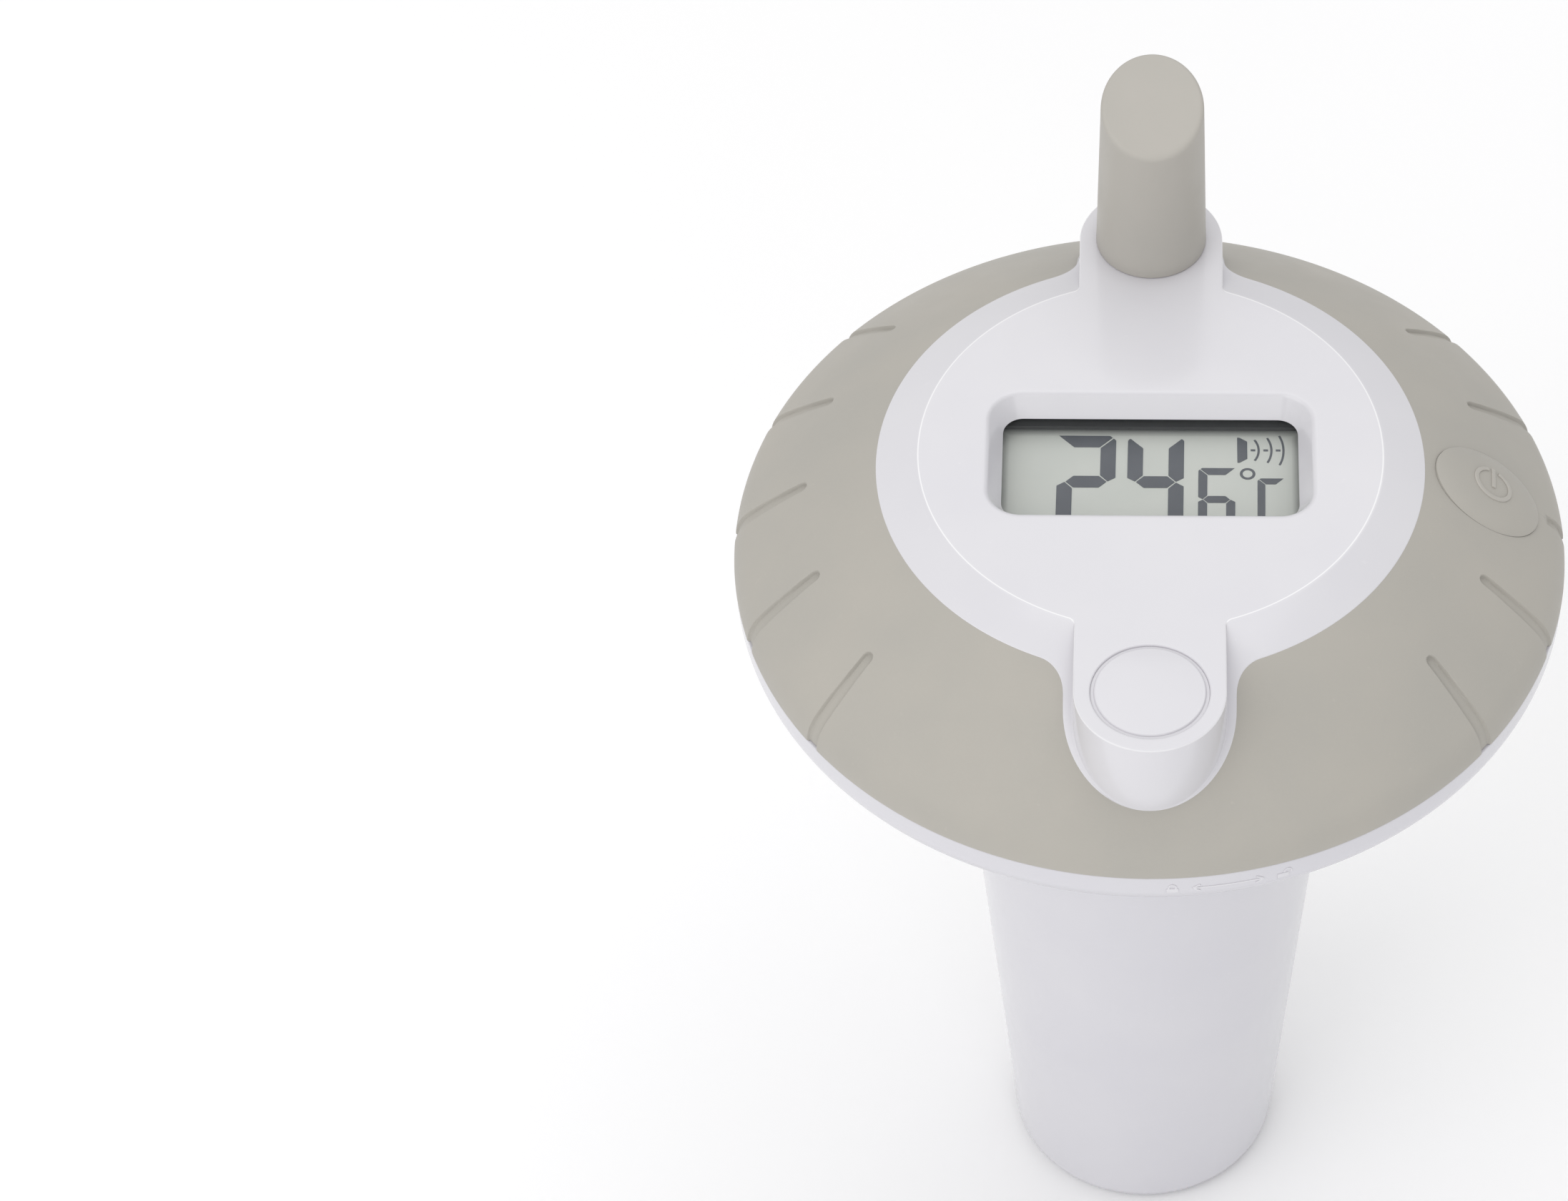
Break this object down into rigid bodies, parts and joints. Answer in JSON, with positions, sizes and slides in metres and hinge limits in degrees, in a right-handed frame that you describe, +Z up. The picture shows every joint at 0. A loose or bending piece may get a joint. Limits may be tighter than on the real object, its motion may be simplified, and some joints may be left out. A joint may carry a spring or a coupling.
{
  "type": "floating pool thermometer",
  "caption": "Floating pool thermometer: domed twist-off display head with grip skin, slanted antenna stub and power button on a ballasted tapered float tube.",
  "frame": {"origin": "centre of the foot ring that the float tube stands on", "axes": "+Z up along the float tube, -Y the side the display is read from, +X towards the power button"},
  "size_m": [0.125, 0.125, 0.1984],
  "materials": {
    "white_plastic": "gloss",
    "grey_grip": "satin soft-touch",
    "clear_window": "polished",
    "display_glass": "satin",
    "black_plastic": "matte",
    "elastomer": "matte",
    "circuit_board": "satin",
    "bright_steel": "bright",
    "dark_steel": "plain",
    "brass": "plain",
    "black_rubber": "matte",
    "cell_wrap": "printed film"
  },
  "bodies": {
    "float": {"float_body": "white_plastic", "ballast_weight": "dark_steel", "ballast_clip": "bright_steel", "sensor_cap": "bright_steel", "cap_gasket": "black_rubber"},
    "head": {"head_shell": "white_plastic", "grip_skin": "grey_grip", "front_badge": "white_plastic", "head_floor": "white_plastic", "floor_gasket": "black_rubber", "neck_seal": "black_rubber", "floor_screw_1": "bright_steel", "floor_screw_2": "bright_steel", "floor_screw_3": "bright_steel", "floor_screw_4": "bright_steel", "display_window": "clear_window", "lcd_frame": "black_plastic", "lcd_panel": "display_glass", "zebra_strip_front": "elastomer", "zebra_strip_rear": "elastomer", "main_pcb": "circuit_board", "controller_chip": "black_plastic", "crystal_can": "bright_steel", "rf_module": "circuit_board", "rf_shield": "bright_steel", "pcb_screw_1": "bright_steel", "pcb_screw_2": "bright_steel", "pcb_screw_3": "bright_steel", "antenna_cover": "grey_grip", "antenna_seal": "black_rubber", "antenna_nut": "black_plastic", "antenna_coil": "brass", "antenna_lead": "brass", "tact_switch": "black_plastic", "switch_board": "circuit_board", "battery_holder": "black_plastic", "holder_screw_1": "bright_steel", "holder_screw_2": "bright_steel", "battery_1": "cell_wrap", "battery_2": "cell_wrap", "positive_stud": "bright_steel", "top_spring": "bright_steel", "bridge_plate": "bright_steel", "bridge_spring": "bright_steel", "battery_lead_1": "brass", "battery_lead_2": "brass", "sensor_stem": "white_plastic", "sensor_sleeve": "bright_steel", "thermistor_bead": "black_plastic", "sensor_lead": "black_rubber", "lead_grommet": "black_rubber"},
    "power_button": {"power_button": "grey_grip", "switch_plunger": "black_plastic"}
  },
  "joints": [
    {"name": "head_twist", "type": "hinge", "parent": "float", "child": "head", "pos_m": [0, 0, 0.1445], "axis": [0, 0, 1], "range_deg": [0, 40]},
    {"name": "button_press", "type": "slide", "parent": "head", "child": "power_button", "axis": [-0.571, 0, -0.821], "range_m": [0, 0.0008], "stiffness_N_per_m": 1500}
  ]
}
